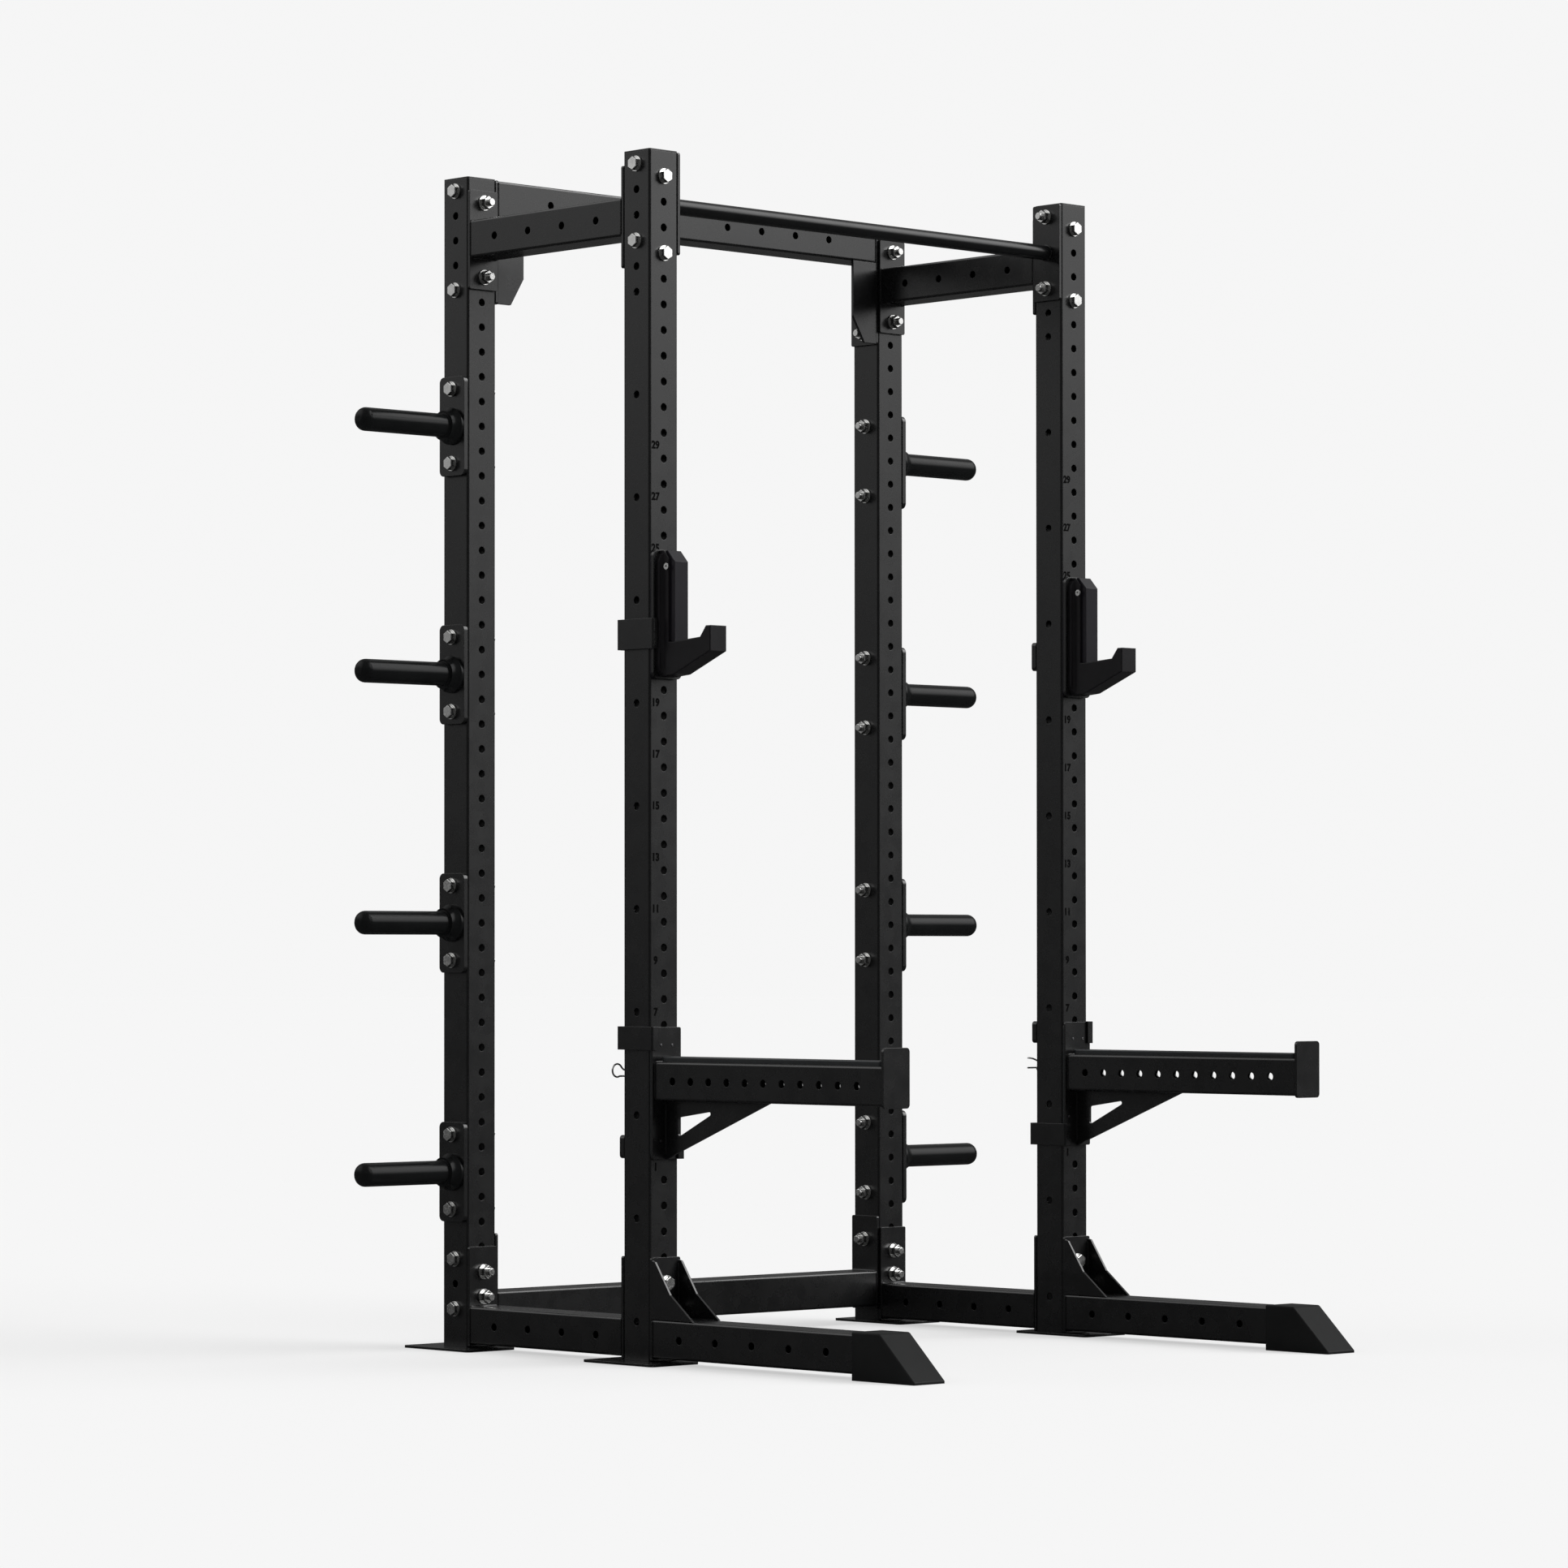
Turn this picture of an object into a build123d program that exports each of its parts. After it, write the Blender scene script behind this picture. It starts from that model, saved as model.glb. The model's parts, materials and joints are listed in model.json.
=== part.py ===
from build123d import *
import os

# Power cage: four square uprights joined by bolted crossmembers, with a pull-up bar, plate
# storage pegs, forward feet, two rack cups and two spotter arms.
# Millimetres. +Z is up and Z = 0 is the floor. The user stands on the -Y side, facing +Y.
# X = 0 and Y = 0 are the middle of the whole object's bounding box.

os.makedirs("parts", exist_ok=True)

# ---------------------------------------------------------------- driving dimensions
TUBE = 76.2                  # outside width of the square tubes
WALL = 3.0
TUBE_ROUND = 4.8             # outside corner radius of the tubes
SPACING_X = 1193.0           # upright centre to upright centre, side to side
SPACING_Y = 543.3            # upright centre to upright centre, front to back
HEIGHT = 2395.0

HOLE_R = 8.0                 # 5/8 inch hardware
PITCH = 50.8
WIDE_PITCH = 101.6           # holes along the crossmembers
TOP_TO_FRONT_HOLE = 52.7     # first hole that runs front to back
TOP_TO_SIDE_HOLE = 27.3      # first hole that runs side to side
FRONT_HOLE_COUNT = 45

BASE_THICK = 5.0
BASE_OUTWARD = 92.0          # the base plate's reach from the upright's centre, outwards
BASE_INWARD = 38.0
BASE_LENGTH = 203.2
BASE_ROUND = 10.0

FLANGE = 6.4                 # thickness of the crossmembers' end plates
FLANGE_HEIGHT = 203.2
FLANGE_ROUND = 4.0

FOOT_REACH = 764.0           # from the front uprights' centres to the tip of the foot caps
CAP_WALL = 4.0
CAP_HEIGHT = 92.0
CAP_TOP_LENGTH = 71.5
CAP_LENGTH = 163.5
CAP_SOCKET = 64.0            # how far the foot's tube reaches into its cap

PEG_R = 24.1                 # fits inside a 50 mm plate
PEG_ROOT_R = 22.0            # the turned-down root inside the collar
PEG_DOME = 18.0              # rounding of the free end
PEG_END_X = 894.0
PEG_PLATE = 10.0
PEG_PLATE_HEIGHT = 203.2
PEG_PLATE_ROUND = 12.0
COLLAR_LENGTH = 25.0
COLLAR_R = 38.1
COLLAR_NOSE_R = 30.5

BAR_R = 15.9

SHANK_R = 7.8
HEX_ACROSS = 23.8
HEAD = 10.0
NUT = 13.5
WASHER = 3.0
WASHER_R = 15.5
THREAD_OUT = 10.0            # bolt end showing past its nut

GAP = 0.3                    # air between a moving attachment and the upright it hangs on
WRAP_GAP = 1.0
WRAP = 5.0
WRAP_BACK = 12.0             # the thicker run of a wrap behind its upright
PIN_R = 7.6

# ---------------------------------------------------------------- derived places
HALF = TUBE / 2
SIDE_X = SPACING_X / 2
REAR_Y = (SPACING_Y + FOOT_REACH - BASE_LENGTH / 2) / 2
FRONT_Y = REAR_Y - SPACING_Y
FRONT_FACE = FRONT_Y - HALF          # foremost face of the front uprights
INNER_X = SIDE_X - HALF
OUTER_X = SIDE_X + HALF
BASE_TUBE_Z = 50.0
TOP_BEAM_Z = HEIGHT - 2.1 - HALF
REAR_BASE_Z = 76.8


def front_hole(number):
    """Height of a hole that runs front to back, counted down from the top."""
    return HEIGHT - TOP_TO_FRONT_HOLE - PITCH * number


def side_hole(number):
    """Height of a hole that runs side to side, counted down from the top."""
    return HEIGHT - TOP_TO_SIDE_HOLE - PITCH * number


TOP_SIDE_BOLTS = [front_hole(0), front_hole(3)]
BOTTOM_SIDE_BOLTS = [front_hole(43), front_hole(44)]
TOP_REAR_BOLTS = [side_hole(0), side_hole(4)]
BAR_BOLTS = [side_hole(0), side_hole(3)]
BOTTOM_REAR_BOLTS = [side_hole(43), side_hole(45)]
PEG_BOLTS = [(side_hole(first), side_hole(first + 3)) for first in (8, 18, 28, 38)]
SIDE_TUBE_Z = sum(TOP_SIDE_BOLTS) / 2
BAR_Z = sum(BAR_BOLTS) / 2

FRONT_SIDE_HOLES = [0, 1, 2, 3, 4, 5] + list(range(9, 46, 4))
REAR_SIDE_HOLES = [0, 1, 2, 3, 4, 8, 11, 18, 21, 28, 31, 38, 41, 43, 44, 45]


# ---------------------------------------------------------------- planes and helpers
def facing_front(y):
    """Sketch plane at depth y whose normal is -Y; local x is X and local y is Z."""
    return Plane(origin=(0, y, 0), x_dir=(1, 0, 0), z_dir=(0, -1, 0))


def facing_right(x):
    """Sketch plane at x whose normal is +X; local x is Y and local y is Z."""
    return Plane(origin=(x, 0, 0), x_dir=(0, 1, 0), z_dir=(1, 0, 0))


def write(solid, name):
    solid.label = name
    export_step(solid, f"parts/{name}.step")


def write_pair(left, stem):
    """Writes a left-hand piece and its mirror image on the right."""
    write(left, f"{stem}_left")
    reflections = []
    for solid in left.solids():
        with BuildPart() as right:
            add(solid)
            mirror(about=Plane.YZ, mode=Mode.REPLACE)
        reflections.append(right.part)
    write(Compound(children=reflections), f"{stem}_right")


def square_tube(plane, across, up, width, height, length):
    """Hollow tube that starts on the plane, centred on a local point, and runs along its normal."""
    with BuildPart() as tube:
        with BuildSketch(plane):
            with Locations((across, up)):
                RectangleRounded(width, height, TUBE_ROUND)
                RectangleRounded(width - 2 * WALL, height - 2 * WALL, TUBE_ROUND - WALL,
                                 mode=Mode.SUBTRACT)
        extrude(amount=length)
    return tube.part


def drill(solid, plane, centres, radius, reach):
    """Round holes on the plane's points, cut both ways through the solid."""
    with BuildPart() as drilled:
        add(solid)
        with BuildSketch(plane):
            with Locations(*centres):
                Circle(radius)
        extrude(amount=reach, both=True, mode=Mode.SUBTRACT)
    return drilled.part


def plate(plane, across, up, width, height, thickness, corner, holes=()):
    """Flat plate on the plane, with rounded corners and bolt holes at local points."""
    with BuildPart() as flat:
        with BuildSketch(plane):
            with Locations((across, up)):
                RectangleRounded(width, height, corner)
            if holes:
                with Locations(*holes):
                    Circle(HOLE_R, mode=Mode.SUBTRACT)
        extrude(amount=thickness)
    return flat.part


def profile(plane, points, thickness, both=True):
    """Plate cut to an outline of local points."""
    with BuildPart() as cut:
        with BuildSketch(plane):
            with BuildLine():
                Polyline(*points, close=True)
            make_face()
        extrude(amount=thickness / 2 if both else thickness, both=both)
    return cut.part


def group(solids, name):
    """Several separate solids of one kind, written as one node."""
    write(Compound(children=list(solids)), name)


# ---------------------------------------------------------------- uprights and what closes them
def upright(x, y, side_holes):
    tube = square_tube(Plane.XY.offset(BASE_THICK), x, y, TUBE, TUBE, HEIGHT - WALL - BASE_THICK)
    front_centres = [(x, front_hole(number)) for number in range(FRONT_HOLE_COUNT)]
    side_centres = [(y, side_hole(number)) for number in side_holes]
    tube = drill(tube, facing_front(y), front_centres, HOLE_R, TUBE)
    return drill(tube, facing_right(x), side_centres, HOLE_R, TUBE)


def base_plate(x, y, outward):
    """Rectangular floor plate, offset towards the outside of the cage."""
    centre = x + outward * (BASE_OUTWARD - BASE_INWARD) / 2
    width = BASE_OUTWARD + BASE_INWARD
    return plate(Plane.XY, centre, y, width, BASE_LENGTH, BASE_THICK, BASE_ROUND)


def top_cap(x, y):
    plug = 12.0
    plug_width = TUBE - 2 * WALL - 0.4
    with BuildPart() as cap:
        with BuildSketch(Plane.XY.offset(HEIGHT - WALL)):
            with Locations((x, y)):
                RectangleRounded(TUBE, TUBE, TUBE_ROUND)
        extrude(amount=WALL)
        with BuildSketch(Plane.XY.offset(HEIGHT - WALL)):
            with Locations((x, y)):
                RectangleRounded(plug_width, plug_width, TUBE_ROUND - WALL)
        extrude(amount=-plug)
    return cap.part


write_pair(upright(-SIDE_X, REAR_Y, REAR_SIDE_HOLES), "upright_rear")
write_pair(upright(-SIDE_X, FRONT_Y, FRONT_SIDE_HOLES), "upright_front")
CORNERS = [(side * SIDE_X, y, side) for side in (-1, 1) for y in (FRONT_Y, REAR_Y)]
group([base_plate(x, y, side) for x, y, side in CORNERS], "base_plates")
group([top_cap(x, y) for x, y, side in CORNERS], "upright_top_caps")


# ---------------------------------------------------------------- crossmembers along X
def beam_holes():
    return [(WIDE_PITCH * step, TOP_BEAM_Z) for step in (-4, 1, 2, 3, 4)]


CROSS_LENGTH = 2 * (INNER_X - FLANGE)
top_beam = square_tube(facing_right(FLANGE - INNER_X), REAR_Y, TOP_BEAM_Z, TUBE, TUBE, CROSS_LENGTH)
write(drill(top_beam, facing_front(REAR_Y), beam_holes(), HOLE_R, TUBE), "rear_top_beam")

TOP_FLANGE_HEIGHT = 254.0
TOP_FLANGE_Z = sum(TOP_REAR_BOLTS) / 2
top_flange_holes = [(REAR_Y, z) for z in TOP_REAR_BOLTS]
group([plate(facing_right(x), REAR_Y, TOP_FLANGE_Z, TUBE, TOP_FLANGE_HEIGHT, FLANGE, FLANGE_ROUND,
             top_flange_holes) for x in (-INNER_X, INNER_X - FLANGE)], "rear_top_beam_end_plates")


def beam_gusset(side):
    """Front stiffener between an end plate and the underside of the rear top beam."""
    reach = 70.0
    chamfer_across = 35.0
    chamfer_up = 56.0
    root = INNER_X - FLANGE
    top = TOP_BEAM_Z - HALF
    bottom = TOP_FLANGE_Z - TOP_FLANGE_HEIGHT / 2 + 1
    points = [(root, top), (root - reach, top), (root - reach, bottom + chamfer_up),
              (root - chamfer_across, bottom), (root, bottom)]
    outline = [(side * x, z) for x, z in points]
    return profile(facing_front(REAR_Y - HALF + FLANGE), outline, FLANGE, both=False)


group([beam_gusset(side) for side in (-1, 1)], "rear_top_beam_gussets")

write(square_tube(facing_right(FLANGE - INNER_X), REAR_Y, REAR_BASE_Z, TUBE, TUBE, CROSS_LENGTH),
      "rear_bottom_tube")
rear_flange_z = sum(BOTTOM_REAR_BOLTS) / 2
rear_flange_holes = [(REAR_Y, z) for z in BOTTOM_REAR_BOLTS]
group([plate(facing_right(x), REAR_Y, rear_flange_z, TUBE, FLANGE_HEIGHT, FLANGE, FLANGE_ROUND,
             rear_flange_holes) for x in (-INNER_X, INNER_X - FLANGE)], "rear_bottom_tube_end_plates")

with BuildPart() as pull_up_bar:
    with BuildSketch(facing_right(FLANGE - INNER_X)):
        with Locations((FRONT_Y, BAR_Z)):
            Circle(BAR_R)
    extrude(amount=CROSS_LENGTH)
write(pull_up_bar.part, "pull_up_bar")
bar_flange_holes = [(FRONT_Y, z) for z in BAR_BOLTS]
group([plate(facing_right(x), FRONT_Y, BAR_Z, TUBE, FLANGE_HEIGHT, FLANGE, FLANGE_ROUND,
             bar_flange_holes) for x in (-INNER_X, INNER_X - FLANGE)], "pull_up_bar_end_plates")


# ---------------------------------------------------------------- crossmembers along Y
def side_tube(z):
    """Tube between a front and a rear upright, with four holes through its sides."""
    start = REAR_Y - HALF - FLANGE
    length = SPACING_Y - TUBE - 2 * FLANGE
    tube = square_tube(facing_front(start), -SIDE_X, z, TUBE, TUBE, length)
    middle = (REAR_Y + FRONT_Y) / 2
    centres = [(middle + WIDE_PITCH * step, z) for step in (-1.5, -0.5, 0.5, 1.5)]
    return drill(tube, facing_right(-SIDE_X), centres, HOLE_R, TUBE)


def side_flanges(z, bolts):
    rear = REAR_Y - HALF
    front = FRONT_Y + HALF + FLANGE
    return [plate(facing_front(y), side * SIDE_X, z, TUBE, FLANGE_HEIGHT, FLANGE, FLANGE_ROUND,
                  [(side * SIDE_X, bolt) for bolt in bolts])
            for y in (rear, front) for side in (-1, 1)]


LOW_FLANGE_Z = BASE_THICK + 1 + FLANGE_HEIGHT / 2
write_pair(side_tube(SIDE_TUBE_Z), "side_top_tube")
write_pair(side_tube(BASE_TUBE_Z), "side_base_tube")
group(side_flanges(SIDE_TUBE_Z, TOP_SIDE_BOLTS), "side_top_tube_end_plates")
group(side_flanges(LOW_FLANGE_Z, BOTTOM_SIDE_BOLTS), "side_base_tube_end_plates")


# ---------------------------------------------------------------- forward feet
def foot_tube():
    first_hole = 120.6           # from the upright's centre to the first side hole
    start = FRONT_FACE - FLANGE
    end = FRONT_Y - FOOT_REACH + CAP_LENGTH - CAP_SOCKET
    tube = square_tube(facing_front(start), -SIDE_X, BASE_TUBE_Z, TUBE, TUBE, start - end)
    centres = [(FRONT_Y - first_hole - WIDE_PITCH * step, BASE_TUBE_Z) for step in range(5)]
    return drill(tube, facing_right(-SIDE_X), centres, HOLE_R, TUBE)


def foot_bracket():
    """Bolted plate and two kinked side gussets that tie a foot to its upright."""
    gusset = 5.0
    reach = 115.0
    top = 203.0
    kink = (51.0, 138.0)         # forward of the root, and height above the floor
    root = FRONT_FACE - FLANGE
    tube_top = BASE_TUBE_Z + HALF
    outline = [(root, tube_top), (root, top), (root - 8, top - 2), (root - kink[0], kink[1]),
               (root - reach, tube_top)]
    holes = [(-SIDE_X, bolt) for bolt in BOTTOM_SIDE_BOLTS]
    face = plate(facing_front(FRONT_FACE), -SIDE_X, LOW_FLANGE_Z, TUBE, FLANGE_HEIGHT, FLANGE,
                 FLANGE_ROUND, holes)
    sides = [profile(facing_right(-SIDE_X + offset), outline, gusset, both=False)
             for offset in (-HALF, HALF - gusset)]
    return Compound(children=[face] + sides)


def foot_cap():
    """Rubber shoe over the end of a foot, with a sloping nose."""
    tip = FRONT_Y - FOOT_REACH
    mouth = tip + CAP_LENGTH
    fit = 0.2
    lip = 5.0                    # height of the blunt nose
    bend = 8.0
    side_round = 3.0
    width = TUBE + 2 * CAP_WALL
    outline = [(mouth, 0), (mouth, CAP_HEIGHT), (mouth - CAP_TOP_LENGTH, CAP_HEIGHT), (tip, lip),
               (tip, 0)]
    with BuildPart() as cap:
        with BuildSketch(facing_right(-SIDE_X)):
            with BuildLine():
                Polyline(*outline, close=True)
            make_face()
        extrude(amount=width / 2, both=True)
        top_bend = cap.edges().filter_by(Axis.X).filter_by(
            lambda edge: edge.center().Y < mouth - 1 and edge.center().Z > lip + 1)
        fillet(top_bend, bend)
        nose = cap.edges().filter_by(Axis.X).filter_by(
            lambda edge: abs(edge.center().Z - lip) < 0.1)
        fillet(nose, side_round)
        sides = cap.faces().filter_by(Axis.X).edges().filter_by(
            lambda edge: edge.center().Y < mouth - 1 and edge.center().Z > 1)
        fillet(sides, side_round)
        with BuildSketch(facing_front(mouth)):
            with Locations((-SIDE_X, BASE_TUBE_Z)):
                RectangleRounded(TUBE + 2 * fit, TUBE + 2 * fit, TUBE_ROUND + fit)
        extrude(amount=CAP_SOCKET + fit, mode=Mode.SUBTRACT)
    return cap.part


write_pair(foot_tube(), "foot_tube")
write_pair(foot_bracket(), "foot_bracket")
write_pair(foot_cap(), "foot_cap")


# ---------------------------------------------------------------- plate storage
def peg_plate(side, bolts):
    x = side * OUTER_X if side > 0 else -OUTER_X - PEG_PLATE
    centre = sum(bolts) / 2
    holes = [(REAR_Y, bolt) for bolt in bolts]
    return plate(facing_right(x), REAR_Y, centre, TUBE, PEG_PLATE_HEIGHT, PEG_PLATE,
                 PEG_PLATE_ROUND, holes)


def peg(side, bolts):
    """Solid storage peg with a domed end and a narrower root that its collar surrounds."""
    root = OUTER_X + PEG_PLATE
    shoulder = root + COLLAR_LENGTH
    with BuildPart() as round_bar:
        with BuildSketch(facing_right(side * shoulder)):
            with Locations((REAR_Y, sum(bolts) / 2)):
                Circle(PEG_R)
        extrude(amount=side * (PEG_END_X - shoulder))
        fillet(round_bar.faces().sort_by(Axis.X)[-1 if side > 0 else 0].edges(), PEG_DOME)
        with BuildSketch(facing_right(side * root)):
            with Locations((REAR_Y, sum(bolts) / 2)):
                Circle(PEG_ROOT_R)
        extrude(amount=side * COLLAR_LENGTH)
    return round_bar.part


def peg_collar(side, bolts):
    """Flared ring at the root of a peg."""
    root = OUTER_X + PEG_PLATE
    rim = 6.0
    waist = (13.0, 33.0)         # out from the plate, and radius there
    bore = PEG_ROOT_R + 0.05
    with BuildPart() as collar:
        with BuildSketch(Plane(origin=(0, REAR_Y, sum(bolts) / 2), x_dir=(1, 0, 0),
                               z_dir=(0, -1, 0))):
            with BuildLine():
                base = Polyline((side * (root + COLLAR_LENGTH), bore), (side * root, bore),
                                (side * root, COLLAR_R), (side * (root + rim), COLLAR_R))
                flare = ThreePointArc(base @ 1, (side * (root + waist[0]), waist[1]),
                                      (side * (root + COLLAR_LENGTH), COLLAR_NOSE_R))
                Line(flare @ 1, base @ 0)
            make_face()
        revolve(axis=Axis((0, REAR_Y, sum(bolts) / 2), (1, 0, 0)))
    return collar.part


for side, hand in ((-1, "left"), (1, "right")):
    group([peg(side, bolts) for bolts in PEG_BOLTS], f"storage_pegs_{hand}")
group([peg_plate(side, bolts) for side in (-1, 1) for bolts in PEG_BOLTS], "storage_peg_plates")
group([peg_collar(side, bolts) for side in (-1, 1) for bolts in PEG_BOLTS], "storage_peg_collars")


# ---------------------------------------------------------------- bolts, washers and nuts
def hexagon_prism(plane, length, bore=0.0):
    with BuildPart() as prism:
        with BuildSketch(plane):
            RegularPolygon(HEX_ACROSS / 2, 6, major_radius=False)
            if bore:
                Circle(bore, mode=Mode.SUBTRACT)
        extrude(amount=length)
        ends = prism.edges().filter_by(GeomType.LINE)
        chamfer(ends.filter_by(lambda edge: abs(edge.length - HEX_ACROSS / 3 ** 0.5) < 0.1), 1.0)
    return prism.part


def bolt(seat, grip):
    """Hex bolt whose head stands on a washer over the seat plane; the plane's normal is outward."""
    head = hexagon_prism(seat.offset(WASHER), HEAD)
    with BuildPart() as whole:
        add(head)
        with BuildSketch(seat.offset(WASHER)):
            Circle(SHANK_R)
        extrude(amount=-(grip + 2 * WASHER + NUT + THREAD_OUT))
        tip = whole.faces().sort_by(Axis(seat.origin, seat.z_dir))[0]
        chamfer(tip.edges(), 1.2)
    return whole.part


def washer(seat, depth):
    with BuildPart() as ring:
        with BuildSketch(seat.offset(depth)):
            Circle(WASHER_R)
            Circle(HOLE_R, mode=Mode.SUBTRACT)
        extrude(amount=WASHER)
    return ring.part


def nut(seat, depth):
    return hexagon_prism(seat.offset(depth - NUT), NUT, SHANK_R + 0.03)


def seat_plane(point, normal):
    return Plane(origin=point, x_dir=(0, 0, 1), z_dir=normal)


# Each entry is the seat under a bolt's washer and the thickness of everything it clamps.
BOLT_SEATS = []
for side in (-1, 1):
    x = side * SIDE_X
    for z in TOP_SIDE_BOLTS:
        BOLT_SEATS.append((seat_plane((x, FRONT_FACE, z), (0, -1, 0)), TUBE + FLANGE))
        BOLT_SEATS.append((seat_plane((x, REAR_Y + HALF, z), (0, 1, 0)), TUBE + FLANGE))
    for z in BOTTOM_SIDE_BOLTS:
        front_seat = seat_plane((x, FRONT_FACE - FLANGE, z), (0, -1, 0))
        BOLT_SEATS.append((front_seat, TUBE + 2 * FLANGE))
        BOLT_SEATS.append((seat_plane((x, REAR_Y + HALF, z), (0, 1, 0)), TUBE + FLANGE))
    for z in TOP_REAR_BOLTS + BOTTOM_REAR_BOLTS:
        BOLT_SEATS.append((seat_plane((side * OUTER_X, REAR_Y, z), (side, 0, 0)), TUBE + FLANGE))
    for z in BAR_BOLTS:
        BOLT_SEATS.append((seat_plane((side * OUTER_X, FRONT_Y, z), (side, 0, 0)), TUBE + FLANGE))
    for pair in PEG_BOLTS:
        for z in pair:
            peg_seat = seat_plane((side * (OUTER_X + PEG_PLATE), REAR_Y, z), (side, 0, 0))
            BOLT_SEATS.append((peg_seat, TUBE + PEG_PLATE))

group([bolt(seat, grip) for seat, grip in BOLT_SEATS], "frame_bolts")
group([washer(seat, depth) for seat, grip in BOLT_SEATS for depth in (0, -grip - WASHER)],
      "frame_washers")
group([nut(seat, -grip - WASHER) for seat, grip in BOLT_SEATS], "frame_nuts")


# ---------------------------------------------------------------- shared by cups and arms
def wrap(outer_side, low, high, front_depth, leg):
    """Strip bent round an upright: a short front leg, one side and the whole rear face.
    outer_side is -1 for the left-hand upright's outer side and 1 for its inner side."""
    rear_face = FRONT_Y + HALF
    near = -SIDE_X + outer_side * (HALF + WRAP_GAP)
    far = -SIDE_X - outer_side * (HALF - 2)
    front = FRONT_FACE - front_depth
    back = rear_face + WRAP_GAP
    edge = near + outer_side * WRAP
    points = [(near, front), (near - outer_side * leg, front),
              (near - outer_side * leg, front - WRAP), (edge, front - WRAP),
              (edge, back + WRAP_BACK), (far, back + WRAP_BACK), (far, back), (near, back)]
    with BuildPart() as strip:
        with BuildSketch(Plane.XY.offset(low)):
            with BuildLine():
                Polyline(*points, close=True)
            make_face()
        extrude(amount=high - low)
        bends = strip.edges().filter_by(Axis.Z)
        outer_bends = [(edge, front - WRAP), (edge, back + WRAP_BACK)]
        fillet([bend for bend in bends if any(abs(bend.center().X - px) < 0.01
                and abs(bend.center().Y - py) < 0.01 for px, py in outer_bends)], 4)
        free_end = strip.faces().filter_by(Axis.X).filter_by(
            lambda face: abs(face.center().X - far) < 0.01)
        fillet(free_end.edges().filter_by(Axis.Y), 7)
    return strip.part


def hanging_pin(z, start_depth, end_y):
    """Round pin from an attachment's plate back into the upright, bevelled at its tip."""
    start = FRONT_FACE - start_depth
    with BuildPart() as shaft:
        with BuildSketch(facing_front(end_y)):
            with Locations((-SIDE_X, z)):
                Circle(PIN_R)
        extrude(amount=end_y - start)
        chamfer(shaft.faces().sort_by(Axis.Y)[-1].edges(), 1.5)
    return shaft.part


def backing(low, high, pin_z, depth):
    """Plastic sheet between an attachment's plate and the upright's front face."""
    with BuildPart() as sheet:
        with BuildSketch(facing_front(FRONT_FACE - GAP)):
            with Locations((-SIDE_X, (low + high) / 2)):
                RectangleRounded(TUBE - 2, high - low, 10)
            with Locations((-SIDE_X, pin_z)):
                Circle(PIN_R + 0.2, mode=Mode.SUBTRACT)
        extrude(amount=depth - GAP)
    return sheet.part


# ---------------------------------------------------------------- rack cups
CUP_PIN_Z = front_hole(15)
CUP_BOTTOM = 1348.0
CUP_TOP = 1602.0
CUP_BACKING = 4.3            # depths are measured forward from the upright's front face
CUP_PLATE = 10.9
CUP_HALF_WIDTH = 22.5
CUP_FOOT = 1352.0            # lowest and highest points of the moulded hook
CUP_HEAD = 1600.0
CUP_REACH = 155.5
PAD_BACK = 37.0
PAD_FRONT = 50.5
PAD_HALF_WIDTH = 17.7
SEAT_Z = 1420.0


def ahead(depth, z):
    """Local point on a side view, at a depth forward of the upright's front face."""
    return (FRONT_FACE - depth, z)


def cup_body():
    """Hook that carries the barbell, with a wider foot against the steel plate."""
    shoulder = 20.0
    foot_width = 62.0
    foot_round = 24.0
    lip_top = 1447.5
    hook = [ahead(CUP_PLATE, CUP_FOOT), ahead(55, CUP_FOOT + 4), ahead(CUP_REACH, lip_top - 50),
            ahead(CUP_REACH, lip_top), ahead(142, lip_top), ahead(125.5, SEAT_Z + 6),
            ahead(PAD_FRONT, SEAT_Z), ahead(PAD_BACK, SEAT_Z), ahead(PAD_BACK, CUP_HEAD - 16),
            ahead(24, CUP_HEAD), ahead(CUP_PLATE, CUP_HEAD)]
    with BuildPart() as body:
        with BuildSketch(facing_right(-SIDE_X)):
            with BuildLine():
                Polyline(*hook, close=True)
            make_face()
        extrude(amount=CUP_HALF_WIDTH, both=True)
        rims = body.faces().filter_by(Axis.X).edges().filter_by(
            lambda edge: edge.center().Y < FRONT_FACE - PAD_FRONT)
        fillet(rims, 2.5)
        with BuildSketch(facing_front(FRONT_FACE - CUP_PLATE)):
            with Locations((-SIDE_X, (CUP_FOOT + CUP_HEAD) / 2)):
                RectangleRounded(foot_width, CUP_HEAD - CUP_FOOT, foot_round)
        extrude(amount=shoulder - CUP_PLATE)
        flank = body.edges().filter_by(Axis.Z).filter_by(
            lambda edge: abs(edge.center().Y - (FRONT_FACE - shoulder)) < 0.01
            and abs(abs(edge.center().X + SIDE_X) - CUP_HALF_WIDTH) < 0.01)
        fillet(flank, 6)
    return body.part


def cup_pads():
    """Plastic wear strip up the front of the hook, and the sheet behind the steel plate."""
    strip = [ahead(PAD_BACK, SEAT_Z), ahead(PAD_FRONT, SEAT_Z), ahead(PAD_FRONT, CUP_HEAD - 22.5),
             ahead(30, CUP_HEAD), ahead(24, CUP_HEAD), ahead(PAD_BACK, CUP_HEAD - 16)]
    front = profile(facing_right(-SIDE_X), strip, 2 * PAD_HALF_WIDTH)
    rear = backing(CUP_BOTTOM + 2, CUP_TOP - 2, CUP_PIN_Z, CUP_BACKING)
    return Compound(children=[front, rear])


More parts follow.
